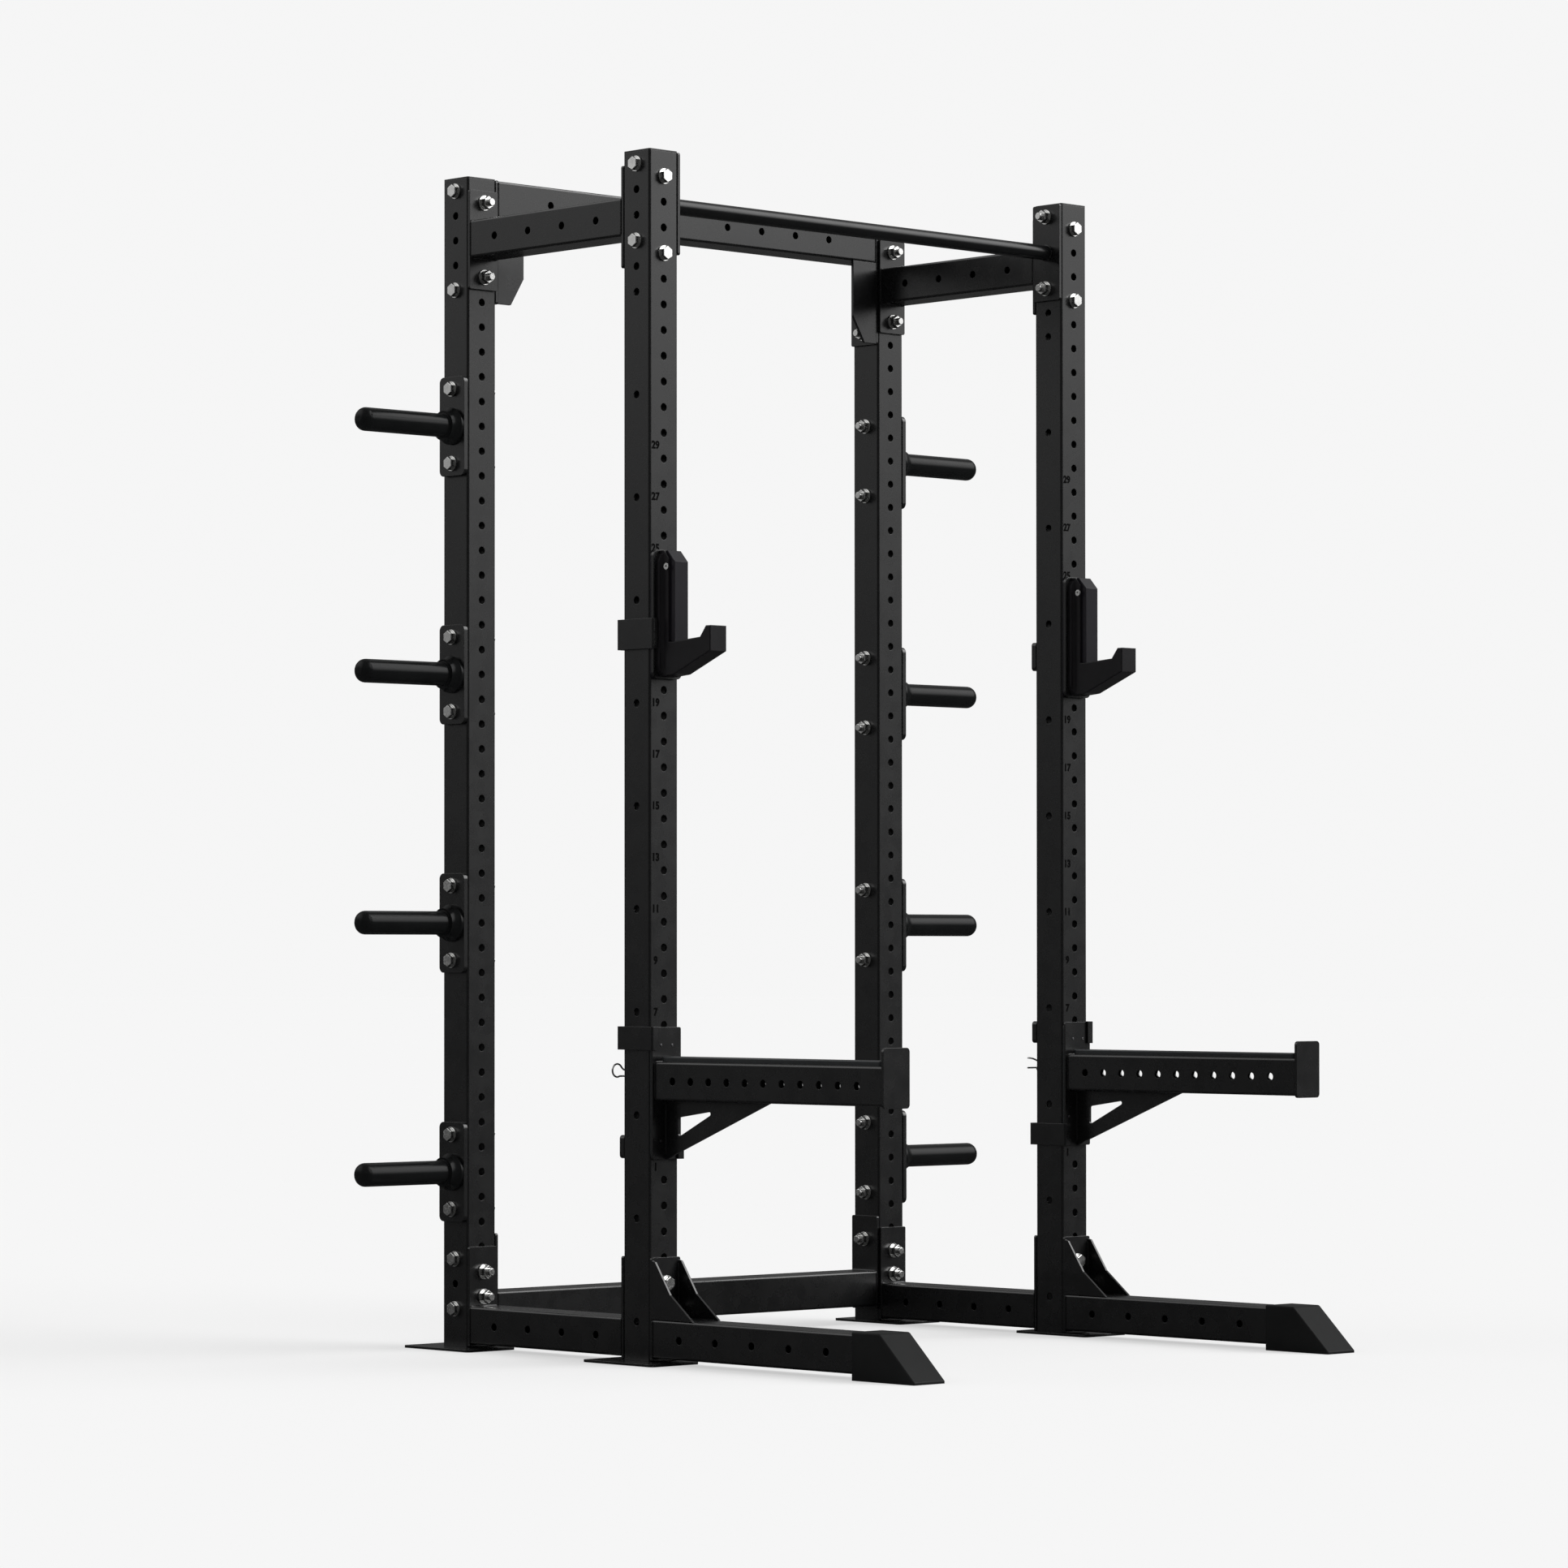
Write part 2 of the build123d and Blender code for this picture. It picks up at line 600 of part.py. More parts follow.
def cup_screws():
    """One flanged button screw on each flank, near the top."""
    height = 3.0
    screws = []
    for flank in (-1, 1):
        x = -SIDE_X + flank * CUP_HALF_WIDTH
        seat = Plane(origin=(x, FRONT_FACE - 33, 1568), x_dir=(0, 1, 0), z_dir=(flank, 0, 0))
        with BuildPart() as screw:
            with BuildSketch(seat):
                Circle(6.5)
            extrude(amount=height)
            with BuildSketch(seat.offset(height)):
                RegularPolygon(2.6, 6)
            extrude(amount=-2, mode=Mode.SUBTRACT)
        screws.append(screw.part)
    return Compound(children=screws)


cup_plate = plate(facing_front(FRONT_FACE - CUP_BACKING), -SIDE_X, (CUP_BOTTOM + CUP_TOP) / 2,
                  TUBE, CUP_TOP - CUP_BOTTOM, CUP_PLATE - CUP_BACKING, 12)
write_pair(cup_plate, "jcup_plate")
write_pair(wrap(-1, 1407.0, 1467.0, CUP_PLATE, 7.5), "jcup_wrap")
write_pair(cup_body(), "jcup_body")
write_pair(cup_pads(), "jcup_pads")
write_pair(hanging_pin(CUP_PIN_Z, CUP_BACKING, FRONT_FACE + 60), "jcup_pin")
write_pair(cup_screws(), "jcup_screws")


# ---------------------------------------------------------------- spotter arms
ARM_PIN_Z = front_hole(35)
ARM_Z = 556.1
ARM_WIDTH = 66.5
ARM_BOTTOM = 402.0
ARM_TOP = 662.0
ARM_BACKING = 3.3
ARM_PLATE = 8.3
ARM_LENGTH = 626.0
ARM_END = ARM_PLATE + ARM_LENGTH
STOP_WIDTH = 70.6            # the plate that closes the arm's free end
STOP_HEIGHT = 115.0
STOP_THICK = 6.0
STOP_Z = 571.5
PIN_TAIL = 30.0              # how far the pin shows behind the upright
CLIP_TAIL = 20.0
CLIP_R = 1.8


def arm_tube():
    first_hole = 59.3            # forward of the upright's face
    start = facing_front(FRONT_FACE - ARM_PLATE)
    tube = square_tube(start, -SIDE_X, ARM_Z, ARM_WIDTH, TUBE, ARM_LENGTH)
    centres = [ahead(first_hole + PITCH * step, ARM_Z) for step in range(11)]
    return drill(tube, facing_right(-SIDE_X), centres, HOLE_R, TUBE)


def arm_gusset():
    """Long stiffener under the arm, with a triangular window."""
    under = ARM_Z - HALF
    reach = 302.0
    thickness = 6.0
    outline = [ahead(ARM_PLATE, under), ahead(reach, under), ahead(ARM_PLATE, ARM_BOTTOM)]
    window = [ahead(44, 446), ahead(44, 485), ahead(156, 501)]
    with BuildPart() as gusset:
        with BuildSketch(facing_right(-SIDE_X)):
            with BuildLine():
                Polyline(*outline, close=True)
            make_face()
            with BuildSketch(mode=Mode.PRIVATE) as opening:
                with BuildLine():
                    Polyline(*window, close=True)
                make_face()
                fillet(opening.vertices(), 4)
            add(opening.sketch, mode=Mode.SUBTRACT)
        extrude(amount=thickness / 2, both=True)
    return gusset.part


def arm_liners():
    """Plastic rail on top of the arm, and the sheet behind its face plate."""
    rail_width = 50.0
    rail = 10.0
    start = ARM_PLATE + 9
    end = ARM_END - 9
    with BuildPart() as top:
        with BuildSketch(Plane.XY.offset(ARM_Z + HALF)):
            with Locations((-SIDE_X, FRONT_FACE - (start + end) / 2)):
                RectangleRounded(rail_width, end - start, 9)
        extrude(amount=rail)
        fillet(top.faces().sort_by(Axis.Z)[-1].edges(), 2)
    rear = backing(ARM_BOTTOM + 2, ARM_TOP - 2, ARM_PIN_Z, ARM_BACKING)
    return Compound(children=[top.part, rear])


def arm_wraps():
    """Upper strip round the outer side and lower strip round the inner side."""
    return Compound(children=[wrap(-1, 617.0, 663.0, ARM_PLATE, 12),
                              wrap(1, 402.0, 448.0, ARM_PLATE, 12)])


def arm_pin():
    """Mounting pin, cross-drilled for its locking clip."""
    shaft = hanging_pin(ARM_PIN_Z, ARM_BACKING, FRONT_Y + HALF + PIN_TAIL)
    hole_y = FRONT_Y + HALF + CLIP_TAIL
    return drill(shaft, facing_right(-SIDE_X), [(hole_y, ARM_PIN_Z)], CLIP_R + 0.4, 2 * PIN_R)


def pin_clip():
    """Wire lock: a straight leg across through the pin, an eye outside, and a sprung leg above."""
    y = FRONT_Y + HALF + CLIP_TAIL
    above = ARM_PIN_Z + PIN_R + 2 * CLIP_R
    inner_end = -SIDE_X + 42.0
    eye = -SIDE_X - 30.0
    with BuildPart() as clip:
        with BuildLine(facing_front(y)) as route:
            straight = Line((inner_end, ARM_PIN_Z), (eye, ARM_PIN_Z))
            bow = ThreePointArc(straight @ 1, (eye - 19, ARM_PIN_Z + 13), (eye + 4, ARM_PIN_Z + 19))
            Spline(bow @ 1, (-SIDE_X, above), (inner_end, ARM_PIN_Z + 21), tangents=(bow % 1, (1, 0.2)))
        with BuildSketch(Plane(origin=(inner_end, y, ARM_PIN_Z), z_dir=(-1, 0, 0))):
            Circle(CLIP_R)
        sweep(path=route.wires()[0], transition=Transition.ROUND)
    return clip.part


write_pair(arm_tube(), "spotter_arm_tube")
write_pair(plate(facing_front(FRONT_FACE - ARM_BACKING), -SIDE_X, (ARM_BOTTOM + ARM_TOP) / 2, TUBE,
                 ARM_TOP - ARM_BOTTOM, ARM_PLATE - ARM_BACKING, 4), "spotter_arm_face_plate")
write_pair(plate(facing_front(FRONT_FACE - ARM_END), -SIDE_X, STOP_Z, STOP_WIDTH, STOP_HEIGHT,
                 STOP_THICK, 8), "spotter_arm_end_plate")
write_pair(arm_gusset(), "spotter_arm_gusset")
write_pair(arm_liners(), "spotter_arm_liners")
write_pair(arm_wraps(), "spotter_arm_wraps")
write_pair(arm_pin(), "spotter_arm_pin")
write_pair(pin_clip(), "spotter_arm_pin_clip")
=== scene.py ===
import json
import math

import bmesh
import bpy
from mathutils import Matrix, Vector


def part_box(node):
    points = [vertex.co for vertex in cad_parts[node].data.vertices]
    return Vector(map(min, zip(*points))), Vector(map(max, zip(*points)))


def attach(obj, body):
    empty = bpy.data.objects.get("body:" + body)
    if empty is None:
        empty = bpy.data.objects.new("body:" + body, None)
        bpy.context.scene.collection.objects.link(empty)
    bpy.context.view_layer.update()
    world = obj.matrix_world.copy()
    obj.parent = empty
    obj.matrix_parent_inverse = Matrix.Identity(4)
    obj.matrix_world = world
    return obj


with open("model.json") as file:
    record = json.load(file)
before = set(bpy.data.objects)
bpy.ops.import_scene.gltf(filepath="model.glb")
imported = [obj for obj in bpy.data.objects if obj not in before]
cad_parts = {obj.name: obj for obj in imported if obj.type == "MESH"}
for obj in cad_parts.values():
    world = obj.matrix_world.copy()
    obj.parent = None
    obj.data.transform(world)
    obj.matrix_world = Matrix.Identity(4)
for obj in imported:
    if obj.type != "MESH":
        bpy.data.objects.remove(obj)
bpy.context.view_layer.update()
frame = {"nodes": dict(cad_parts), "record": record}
nodes = frame["nodes"]

# Power cage in black powder coat on a pale studio floor. Metres; the lifter's side faces -Y.

# ---------------------------------------------------------------- sizes shared by the details
HOLE_PITCH = 0.0508
NUMBER_HEIGHT = 0.0155
NUMBER_OFFSET = 0.0225            # from the hole column to the middle of a number
FIRST_NUMBER_Z = 0.3865
THREAD_PITCH = 0.0023
THREAD_COUNT = 4
THREAD_CREST = 0.0080
THREAD_ROOT = 0.00775
BOLT_BEVEL = 0.0012
HEAD_RADIUS = 0.010               # vertices further out than this belong to a bolt's head
BEAD_STEP = 0.0028                # length of one ripple along a weld bead
BEAD_RADIUS = 0.0022
SMALL_BEAD_RADIUS = 0.0018        # on the brackets, pegs, gussets and arms
BEAD_INSET = 0.0008               # from a tube's end to the middle of the bead round it
CIRCLE_POINTS = 36
COLLAR_NOSE = 0.0252              # from a peg plate's face to the bead at its collar's nose
SCREW_RADIUS = 0.0029
SCREW_HEIGHT = 0.0012
SCREW_SIDES = 24
SOCKET_SIDES = 6
FACE_PLATE_SCREWS = ((-0.0155, 0.2245), (0.0145, 0.2245), (-0.0155, 0.036), (0.0275, 0.061))
INK_HEIGHT = 0.00015
INK_SPREAD = 0.0009               # how much heavier a number's strokes are than the plain font


# ---------------------------------------------------------------- materials
def new_material(name):
    material = bpy.data.materials.new(name)
    material.use_nodes = True
    tree = material.node_tree
    shader = tree.nodes["Principled BSDF"]
    return material, tree, shader


def noise(tree, scale, detail=3.0, roughness=0.55, stretch=None):
    """Noise in metres over the object; stretch squeezes it along an axis."""
    place = tree.nodes.new("ShaderNodeTexCoord")
    texture = tree.nodes.new("ShaderNodeTexNoise")
    texture.inputs["Scale"].default_value = scale
    texture.inputs["Detail"].default_value = detail
    texture.inputs["Roughness"].default_value = roughness
    if stretch:
        mapping = tree.nodes.new("ShaderNodeMapping")
        mapping.inputs["Scale"].default_value = stretch
        tree.links.new(place.outputs["Object"], mapping.inputs["Vector"])
        tree.links.new(mapping.outputs["Vector"], texture.inputs["Vector"])
    else:
        tree.links.new(place.outputs["Object"], texture.inputs["Vector"])
    return texture.outputs["Fac"]


def ramp(tree, source, low, high, low_value, high_value):
    """Maps a number from one range to another."""
    node = tree.nodes.new("ShaderNodeMapRange")
    node.inputs["From Min"].default_value = low
    node.inputs["From Max"].default_value = high
    node.inputs["To Min"].default_value = low_value
    node.inputs["To Max"].default_value = high_value
    tree.links.new(source, node.inputs["Value"])
    return node.outputs["Result"]


def blend_colours(tree, factor, first, second):
    node = tree.nodes.new("ShaderNodeMix")
    node.data_type = "RGBA"
    for socket, value in (("A", first), ("B", second)):
        target = [entry for entry in node.inputs
                  if entry.name == socket and entry.type == "RGBA"][0]
        if isinstance(value, bpy.types.NodeSocket):
            tree.links.new(value, target)
        else:
            target.default_value = (*value, 1.0)
    tree.links.new(factor, node.inputs["Factor"])
    return [entry for entry in node.outputs if entry.type == "RGBA"][0]


def rounded_normal(tree, radius):
    """Surface normal with its sharp edges softened to a radius."""
    bevel = tree.nodes.new("ShaderNodeBevel")
    bevel.samples = 4
    bevel.inputs["Radius"].default_value = radius
    return bevel.outputs["Normal"]


def edge_mask(tree, rounded):
    """Near 1 where the rounded normal leaves the true one, and 0 on flat ground."""
    ground = tree.nodes.new("ShaderNodeNewGeometry")
    dot = tree.nodes.new("ShaderNodeVectorMath")
    dot.operation = "DOT_PRODUCT"
    tree.links.new(rounded, dot.inputs[0])
    tree.links.new(ground.outputs["Normal"], dot.inputs[1])
    return ramp(tree, dot.outputs["Value"], 1.0, 0.8, 0.0, 1.0)


def coated(name, dark, light, edge, roughness, grain_scale, grain_depth, edge_radius=0.0012,
           specular=0.5):
    """Paint, plastic or rubber: mottled colour, uneven gloss, fine grain, and lighter edges that
    are partly wear and partly a painted highlight.
    """
    material, tree, shader = new_material(name)
    cloud = ramp(tree, noise(tree, 9.0, 4.0), 0.3, 0.7, 0.0, 1.0)
    body = blend_colours(tree, cloud, dark, light)
    rounded = rounded_normal(tree, edge_radius)
    mask = edge_mask(tree, rounded)
    wear_and_highlight_patches = ramp(tree, noise(tree, 140.0, 4.0), 0.35, 0.65, 0.25, 1.0)
    amount = tree.nodes.new("ShaderNodeMath")
    amount.operation = "MULTIPLY"
    tree.links.new(mask, amount.inputs[0])
    tree.links.new(wear_and_highlight_patches, amount.inputs[1])
    # Lighter colour along the edges in patches: partly wear, partly a painted highlight on the
    # edges.
    colour = blend_colours(tree, amount.outputs["Value"], body, edge)
    tree.links.new(colour, shader.inputs["Base Color"])
    gloss = ramp(tree, noise(tree, 26.0, 5.0), 0.3, 0.7, roughness - 0.025, roughness + 0.03)
    tree.links.new(gloss, shader.inputs["Roughness"])
    shader.inputs["Specular IOR Level"].default_value = specular
    bump = tree.nodes.new("ShaderNodeBump")
    bump.inputs["Strength"].default_value = 0.35
    bump.inputs["Distance"].default_value = grain_depth
    tree.links.new(noise(tree, grain_scale, 2.0), bump.inputs["Height"])
    tree.links.new(rounded, bump.inputs["Normal"])
    tree.links.new(bump.outputs["Normal"], shader.inputs["Normal"])
    return material


def plated(name, dark, light, roughness, scratch_scale):
    """Zinc-plated steel with faint cloudy plating and fine scratches."""
    material, tree, shader = new_material(name)
    shader.inputs["Metallic"].default_value = 1.0
    cloud = ramp(tree, noise(tree, 60.0, 4.0), 0.3, 0.7, 0.0, 1.0)
    tree.links.new(blend_colours(tree, cloud, dark, light), shader.inputs["Base Color"])
    gloss = ramp(tree, noise(tree, 220.0, 4.0), 0.3, 0.7, roughness - 0.06, roughness + 0.1)
    tree.links.new(gloss, shader.inputs["Roughness"])
    rounded = rounded_normal(tree, 0.0008)
    bump = tree.nodes.new("ShaderNodeBump")
    bump.inputs["Strength"].default_value = 0.2
    bump.inputs["Distance"].default_value = 0.00004
    tree.links.new(noise(tree, scratch_scale, 3.0, stretch=(1.0, 1.0, 6.0)), bump.inputs["Height"])
    tree.links.new(rounded, bump.inputs["Normal"])
    tree.links.new(bump.outputs["Normal"], shader.inputs["Normal"])
    return material


# The third colour of each coating is its edge colour: partly wear, partly a painted highlight.
POWDER = coated("powder_coat", (0.0032, 0.0033, 0.0035), (0.0047, 0.0048, 0.005),
                (0.010, 0.010, 0.0105), 0.27, 1400.0, 0.00004)
PLATE = coated("powder_coat_plates", (0.003, 0.0031, 0.0033), (0.0044, 0.0045, 0.0047),
               (0.013, 0.013, 0.0135), 0.26, 1200.0, 0.00004)
PEG = coated("peg_coating", (0.0052, 0.0055, 0.0056), (0.0072, 0.0076, 0.0078),
             (0.010, 0.010, 0.010), 0.2, 700.0, 0.00002, specular=0.07)
BAR = coated("bar_coating", (0.0042, 0.0044, 0.0046), (0.006, 0.0062, 0.0064),
             (0.008, 0.008, 0.008), 0.24, 900.0, 0.00003, specular=0.2)
CUP = coated("cup_plastic", (0.0062, 0.0058, 0.0066), (0.0084, 0.0079, 0.009),
             (0.012, 0.0115, 0.013), 0.34, 1700.0, 0.00006, 0.0015, specular=0.15)
PAD = coated("cup_pad_plastic", (0.006, 0.0053, 0.0078), (0.0082, 0.0074, 0.0102),
             (0.012, 0.011, 0.014), 0.34, 1700.0, 0.00006, 0.0015, specular=0.17)
LINER = coated("liner_plastic", (0.0075, 0.0095, 0.0105), (0.011, 0.0135, 0.015),
               (0.016, 0.017, 0.0185), 0.33, 1900.0, 0.00005)
CAP = coated("black_plastic", (0.0032, 0.0032, 0.0032), (0.0048, 0.0048, 0.0048),
             (0.010, 0.010, 0.010), 0.3, 1500.0, 0.00005)
RUBBER = coated("foot_rubber", (0.0068, 0.0071, 0.0072), (0.0092, 0.0095, 0.0096),
                (0.013, 0.013, 0.013), 0.42, 700.0, 0.00015, 0.002, specular=0.07)
ZINC = plated("zinc", (0.6, 0.6, 0.59), (0.72, 0.72, 0.71), 0.2, 300.0)
WIRE = plated("wire", (0.5, 0.5, 0.5), (0.66, 0.66, 0.65), 0.2, 300.0)
SCREW = plated("screw_steel", (0.07, 0.07, 0.073), (0.12, 0.12, 0.124), 0.3, 400.0)
INK = coated("number_ink", (0.0004, 0.0004, 0.0004), (0.0007, 0.0007, 0.0007),
             (0.0007, 0.0007, 0.0007), 0.6, 900.0, 0.00002, specular=0.03)
WELD = coated("weld_paint", (0.0034, 0.0035, 0.0037), (0.005, 0.0051, 0.0053),
              (0.008, 0.008, 0.008), 0.27, 1100.0, 0.00005)

BY_SLOT = {"powder_coat": POWDER, "peg_coating": PEG, "zinc_hardware": ZINC, "cup_plastic": CUP,
           "liner_plastic": LINER, "black_plastic": CAP, "rubber": RUBBER}
SLOTS = {entry["node"]: entry["material_slot"] for entry in frame["record"]["subparts"]}
PLATE_NAMES = ("base_plates", "gusset", "bracket", "peg_plates", "face_plate", "end_plate",
               "jcup_plate", "wrap")


def material_for(name):
    if name.startswith("spotter_arm_pin_clip"):
        return WIRE
    if name == "pull_up_bar":
        return BAR
    if name.startswith("jcup_pads"):
        return PAD
    if any(word in name for word in PLATE_NAMES):
        return PLATE
    return BY_SLOT[SLOTS[name]]


for name, thing in nodes.items():
    thing.data.materials.clear()
    thing.data.materials.append(material_for(name))


# ---------------------------------------------------------------- making pieces
def piece_from(name, mesh_maker, material, body):
    """A new visible piece on a body, from a function that fills a bmesh."""
    shape = bmesh.new()
    mesh_maker(shape)
    mesh = bpy.data.meshes.new(name)
    bmesh.ops.recalc_face_normals(shape, faces=shape.faces)
    shape.to_mesh(mesh)
    shape.free()
    thing = bpy.data.objects.new(name, mesh)
    bpy.context.collection.objects.link(thing)
    mesh.materials.append(material)
    for polygon in mesh.polygons:
        polygon.use_smooth = True
    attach(thing, body)
    return thing


def ring_of(shape, centre, across, up, radius, count):
    """Circle of vertices round a centre in the plane of two unit vectors."""
    ring = []
    for index in range(count):
        angle = 2 * math.pi * index / count
        ring.append(shape.verts.new(centre + across * (radius * math.cos(angle))
                                    + up * (radius * math.sin(angle))))
    return ring


def join_rings(shape, first, second):
    count = len(first)
    for index in range(count):
        after = (index + 1) % count
        shape.faces.new((first[index], first[after], second[after], second[index]))


def bead(shape, points, radius, closed):
    """Weld bead: a rippled round run along a path."""
    path = []
    pairs = list(zip(points, points[1:] + points[:1])) if closed else list(zip(points, points[1:]))
    for start, end in pairs:
        start = Vector(start)
        end = Vector(end)
        count = max(1, round((end - start).length / BEAD_STEP))
        path += [start.lerp(end, index / count) for index in range(count)]
    if not closed:
        path.append(Vector(points[-1]))
    rings = []
    total = len(path)
    for index, place in enumerate(path):
        before = path[(index - 1) % total] if closed or index else place
        after = path[(index + 1) % total] if closed or index < total - 1 else place
        along = (after - before).normalized()
        helper = Vector((0, 0, 1)) if abs(along.z) < 0.9 else Vector((0, 1, 0))
        across = along.cross(helper).normalized()
        up = along.cross(across)
        swell = radius * (1.0 if index % 2 else 0.82)
        if not closed and index in (0, total - 1):
            swell = radius * 0.35
        rings.append(ring_of(shape, place, across, up, swell, 6))
    for first, second in zip(rings, rings[1:]):
        join_rings(shape, first, second)
    if closed:
        join_rings(shape, rings[-1], rings[0])
    else:
        shape.faces.new(rings[0])
        shape.faces.new(list(reversed(rings[-1])))


def outline(box, axis, at, corner=0.0045):
    """Closed path round a box's section at a place on one axis, with cut corners."""
    low, high = box
    others = [index for index in range(3) if index != axis]
    u_low, u_high = low[others[0]], high[others[0]]
    v_low, v_high = low[others[1]], high[others[1]]
    flat = [(u_low + corner, v_low), (u_high - corner, v_low), (u_high, v_low + corner),
            (u_high, v_high - corner), (u_high - corner, v_high), (u_low + corner, v_high),
            (u_low, v_high - corner), (u_low, v_low + corner)]
    path = []
    for u, v in flat:
        point = [0.0, 0.0, 0.0]
        point[axis] = at
        point[others[0]] = u
        point[others[1]] = v
        path.append(tuple(point))
    return path


def circle_path(at, middle_y, middle_z, radius):
    """Closed path round a bar that runs along X."""
    angles = [turn * math.pi / (CIRCLE_POINTS / 2) for turn in range(CIRCLE_POINTS)]
    return [(at, middle_y + radius * math.cos(angle), middle_z + radius * math.sin(angle))
            for angle in angles]


# ---------------------------------------------------------------- weld beads on the frame
def frame_welds(shape):
    for name, axis in (("side_top_tube_left", 1), ("side_top_tube_right", 1),
                       ("side_base_tube_left", 1), ("side_base_tube_right", 1),
                       ("rear_top_beam", 0), ("rear_bottom_tube", 0)):
        low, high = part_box(name)
        for at in (low[axis] + BEAD_INSET, high[axis] - BEAD_INSET):
            bead(shape, outline((low, high), axis, at), BEAD_RADIUS, True)
    low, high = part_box("pull_up_bar")
    middle_y = (low[1] + high[1]) / 2
    middle_z = (low[2] + high[2]) / 2
    grip = (high[2] - low[2]) / 2
    for at in (low[0] + 0.001, high[0] - 0.001):
        bead(shape, circle_path(at, middle_y, middle_z, grip), BEAD_RADIUS, True)
    for hand in ("left", "right"):
        low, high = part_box(f"foot_tube_{hand}")
        bead(shape, outline((low, high), 1, high[1] - BEAD_INSET), BEAD_RADIUS, True)


piece_from("frame_weld_beads", frame_welds, WELD, "frame")


def foot_bracket_welds(shape):
    for hand in ("left", "right"):
        low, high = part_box(f"foot_bracket_{hand}")
        tube_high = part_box(f"foot_tube_{hand}")[1]
        root = tube_high[1]
        for at in (low[0] + 0.0051, high[0] - 0.0051):
            bead(shape, [(at, root - 0.0006, tube_high[2] + 0.002),
                         (at, root - 0.0006, high[2] - 0.012)], SMALL_BEAD_RADIUS, False)
            bead(shape, [(at, root - 0.001, tube_high[2] + 0.0004),
                         (at, low[1] + 0.012, tube_high[2] + 0.0004)], SMALL_BEAD_RADIUS, False)


def peg_welds(shape):
    for side, hand in ((-1, "left"), (1, "right")):
        low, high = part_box("storage_peg_plates")
        pegs_low, pegs_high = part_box(f"storage_pegs_{hand}")
        face = high[0] if side > 0 else low[0]
        middle_y = (pegs_low[1] + pegs_high[1]) / 2
        radius = (pegs_high[1] - pegs_low[1]) / 2
        spread = (pegs_high[2] - pegs_low[2] - 2 * radius) / 3
        for step in range(4):
            middle_z = pegs_low[2] + radius + spread * step
            circle = circle_path(face + side * COLLAR_NOSE, middle_y, middle_z, radius + 0.0004)
            bead(shape, circle, SMALL_BEAD_RADIUS, True)


def gusset_welds(shape):
    low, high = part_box("rear_top_beam_gussets")
    beam_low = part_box("rear_top_beam")[0]
    for end in (-1, 1):
        inner = end * (high[0] - 0.066)
        outer = end * (high[0] - 0.002)
        bead(shape, [(inner, high[1] + 0.0004, beam_low[2] - 0.0004),
                     (outer, high[1] + 0.0004, beam_low[2] - 0.0004)], SMALL_BEAD_RADIUS, False)
        root = end * (high[0] - 0.0002)
        bead(shape, [(root, high[1] + 0.0002, beam_low[2] - 0.004),
                     (root, high[1] + 0.0002, low[2] + 0.004)], SMALL_BEAD_RADIUS, False)


piece_from("foot_bracket_weld_beads", foot_bracket_welds, WELD, "frame")
piece_from("peg_weld_beads", peg_welds, PEG, "frame")
piece_from("gusset_weld_beads", gusset_welds, WELD, "frame")


def arm_welds(hand):
    def fill(shape):
        low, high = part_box(f"spotter_arm_tube_{hand}")
        for at in (low[1] + BEAD_INSET, high[1] - BEAD_INSET):
            bead(shape, outline((low, high), 1, at), SMALL_BEAD_RADIUS, True)
        sheet_low, sheet_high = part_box(f"spotter_arm_gusset_{hand}")
        for at in (sheet_low[0], sheet_high[0]):
            bead(shape, [(at, high[1] - 0.003, low[2]),
                         (at, sheet_low[1] + 0.02, low[2])], SMALL_BEAD_RADIUS, False)
            bead(shape, [(at, high[1] - 0.0003, low[2] - 0.003),
                         (at, high[1] - 0.0003, sheet_low[2] + 0.01)], SMALL_BEAD_RADIUS, False)
    return fill


for hand in ("left", "right"):
    piece_from(f"spotter_arm_weld_beads_{hand}", arm_welds(hand), WELD, f"spotter_arm_{hand}")


# ---------------------------------------------------------------- small fixings
def screw_head(shape, centre, radius, height):
    """Low button head with a hex socket, facing -Y."""
    across = Vector((1, 0, 0))
    up = Vector((0, 0, 1))
    centre = Vector(centre)
    outward = Vector((0, -1, 0))
    profile = [(radius, 0.0), (radius, height * 0.35), (radius * 0.86, height * 0.8),
               (radius * 0.55, height)]
    rings = [ring_of(shape, centre + outward * rise, across, up, wide, SCREW_SIDES)
             for wide, rise in profile]
    for first, second in zip(rings, rings[1:]):
        join_rings(shape, first, second)
    socket = radius * 0.45
    socket_top = ring_of(shape, centre + outward * height, across, up, socket, SOCKET_SIDES)
    socket_floor = ring_of(shape, centre + outward * height * 0.25, across, up, socket,
                           SOCKET_SIDES)
    join_rings(shape, socket_top, socket_floor)
    shape.faces.new(socket_floor)
    for index in range(SCREW_SIDES):
        after = (index + 1) % SCREW_SIDES
        corner = index * SOCKET_SIDES // SCREW_SIDES
        nearest = socket_top[corner]
        following = socket_top[(corner + 1) % SOCKET_SIDES]
        if after % (SCREW_SIDES // SOCKET_SIDES) == 0:
            shape.faces.new((rings[-1][index], rings[-1][after], following, nearest))
        else:
            shape.faces.new((rings[-1][index], rings[-1][after], nearest))


def face_plate_screws(hand):
    side = -1 if hand == "left" else 1

    def fill(shape):
        low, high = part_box(f"spotter_arm_face_plate_{hand}")
        middle = (low[0] + high[0]) / 2
        for across, height in FACE_PLATE_SCREWS:
            centre = (middle - side * across, low[1] + 0.0001, low[2] + height)
            screw_head(shape, centre, SCREW_RADIUS, SCREW_HEIGHT)
    return fill


for hand in ("left", "right"):
    piece_from(f"face_plate_screws_{hand}", face_plate_screws(hand), SCREW, f"spotter_arm_{hand}")


